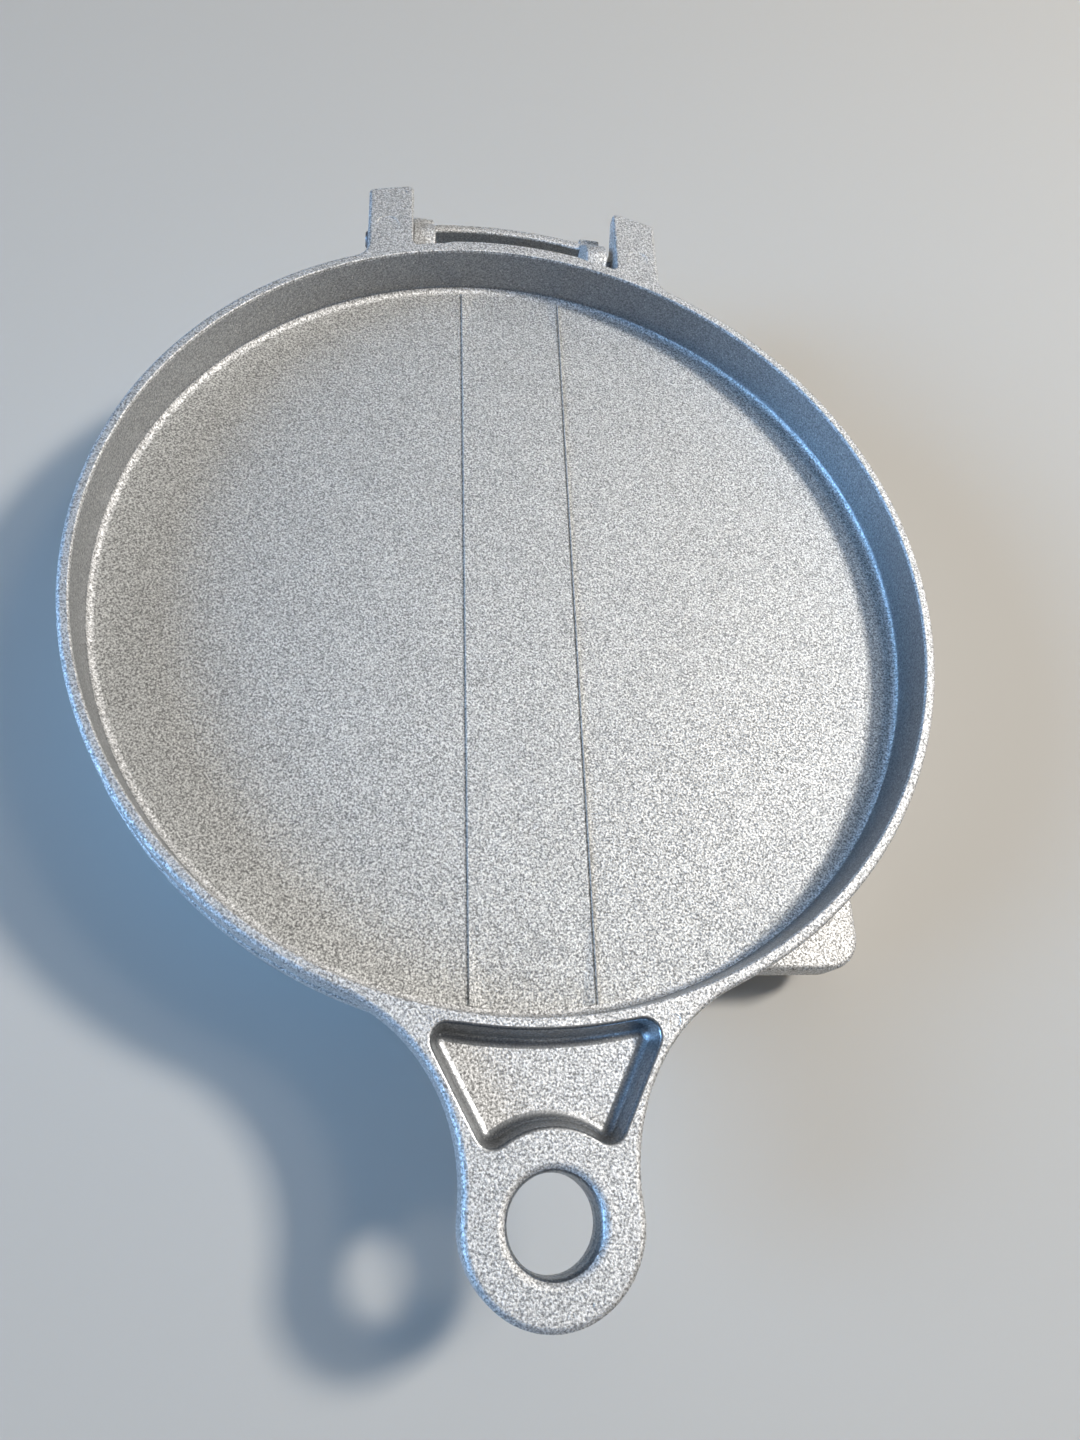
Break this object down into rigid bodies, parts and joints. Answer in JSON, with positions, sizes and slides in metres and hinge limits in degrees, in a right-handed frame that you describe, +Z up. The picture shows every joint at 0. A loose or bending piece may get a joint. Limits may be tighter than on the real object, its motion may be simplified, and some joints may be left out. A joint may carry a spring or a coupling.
{
  "type": "waffle maker",
  "caption": "Stove-top waffle maker: a round dished cast plate with an eye handle, hinged at the back on a deeper round plate with a side grip tab.",
  "frame": {"origin": "centre of the footprint, on the surface that the foot ring stands on", "axes": "+Z up; +Y towards the hinge; -Y towards the hanging hole in the handle; +X to the side of the grip tab"},
  "size_m": [0.2128, 0.2836, 0.044],
  "materials": {
    "cast_aluminium": "shot-blasted casting, fine bright grain",
    "pin_steel": "dull drawn steel"
  },
  "bodies": {
    "lower": {"lower_plate": "cast_aluminium"},
    "upper": {"upper_plate": "cast_aluminium", "hinge_pin_left": "pin_steel", "hinge_pin_right": "pin_steel"}
  },
  "joints": [
    {"name": "plate_hinge", "type": "hinge", "parent": "lower", "child": "upper", "pos_m": [0, 0.12766, 0.036], "axis": [-1, 0, 0], "range_deg": [0, 118]}
  ]
}
